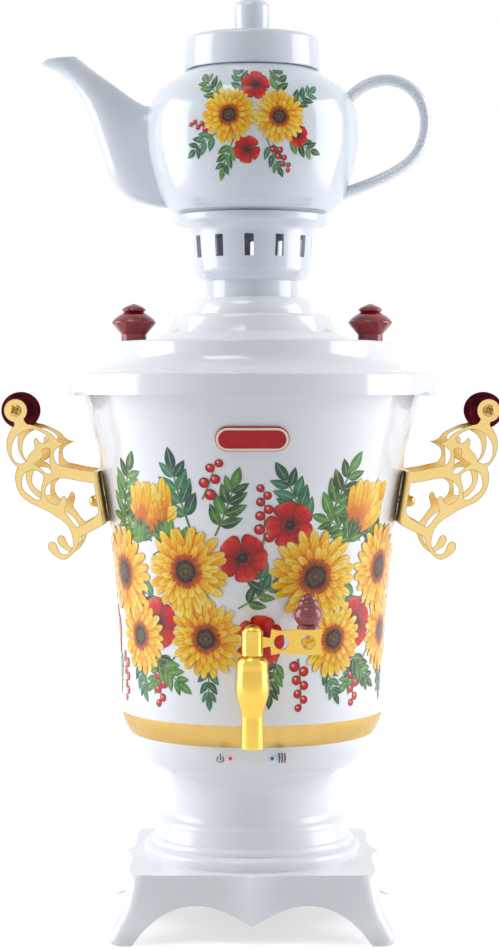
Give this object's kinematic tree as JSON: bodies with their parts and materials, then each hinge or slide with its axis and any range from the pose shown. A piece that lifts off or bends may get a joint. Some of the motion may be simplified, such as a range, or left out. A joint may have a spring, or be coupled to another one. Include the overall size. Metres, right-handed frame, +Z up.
{
  "type": "electric samovar",
  "caption": "Electric samovar: flared water tank with a tap, side handles and lid on a four-legged base, with a teapot on a crown stand.",
  "frame": {"origin": "on the ground plane under the middle of the four-legged base", "axes": "+Z up, the tap faces -Y, +X to the right seen from the tap side"},
  "size_m": [0.2892, 0.2158, 0.5308],
  "materials": {
    "white_plastic": "smooth glossy moulding",
    "white_enamel": "glossy white enamel",
    "white_ceramic": "clear glaze on white body",
    "gold_plate": "polished gold-tone plating",
    "tap_gold": "polished yellow gold-tone plating",
    "burgundy_plastic": "glossy dark red",
    "maroon_plastic": "glossy maroon brown",
    "rose_plastic": "glossy dusty maroon",
    "red_plate": "glossy red with a pale rim",
    "steel": "brushed stainless",
    "black_rubber": "matte",
    "black_plastic": "matte",
    "board_green": "satin lacquer",
    "lamp_red": "clear tinted lens",
    "lamp_blue": "clear tinted lens"
  },
  "bodies": {
    "base": {"base_foot": "white_plastic", "foot_pads": "black_rubber", "bottom_cover": "white_plastic", "bottom_cover_screws": "steel", "base_housing": "white_plastic", "power_inlet": "black_plastic", "power_inlet_pins": "steel", "indicator_board": "board_green", "led_red": "lamp_red", "led_blue": "lamp_blue", "trim_band": "gold_plate", "tank_shell": "white_enamel", "tank_floor": "steel", "heating_element": "steel", "heater_nuts": "steel", "thermostat": "black_plastic", "thermal_fuse": "steel", "tie_bolt": "steel", "tie_nut": "steel", "tap_body": "tap_gold", "tap_bonnet": "tap_gold", "tap_gasket": "black_rubber", "tap_nut": "steel", "handle_frame_left": "gold_plate", "handle_frame_right": "gold_plate", "handle_grip_left": "maroon_plastic", "handle_grip_right": "maroon_plastic", "handle_grip_screws": "steel", "handle_bolts": "steel", "handle_acorn_nuts": "gold_plate", "badge_plate": "red_plate"},
    "tap_handle": {"tap_plug": "tap_gold", "tap_lever": "tap_gold", "tap_cap": "tap_gold", "tap_knob": "rose_plastic"},
    "lid": {"samovar_lid": "white_enamel", "lid_knob_left": "burgundy_plastic", "lid_knob_right": "burgundy_plastic", "lid_knob_screws": "steel"},
    "stand": {"teapot_stand": "white_enamel"},
    "teapot": {"teapot_body": "white_ceramic"},
    "teapot_lid": {"teapot_lid": "white_ceramic"}
  },
  "joints": [
    {"name": "tap_turn", "type": "hinge", "parent": "base", "child": "tap_handle", "pos_m": [0, -0.101, 0.1505], "axis": [0, 0, 1], "range_deg": [-90, 0]},
    {"name": "samovar_lid_lift", "type": "slide", "parent": "base", "child": "lid", "axis": [0, 0, 1], "range_m": [0, 0.12]},
    {"name": "stand_lift", "type": "slide", "parent": "lid", "child": "stand", "axis": [0, 0, 1], "range_m": [0, 0.1]},
    {"name": "teapot_lift", "type": "slide", "parent": "stand", "child": "teapot", "axis": [0, 0, 1], "range_m": [0, 0.12]},
    {"name": "teapot_lid_lift", "type": "slide", "parent": "teapot", "child": "teapot_lid", "axis": [0, 0, 1], "range_m": [0, 0.08]}
  ]
}
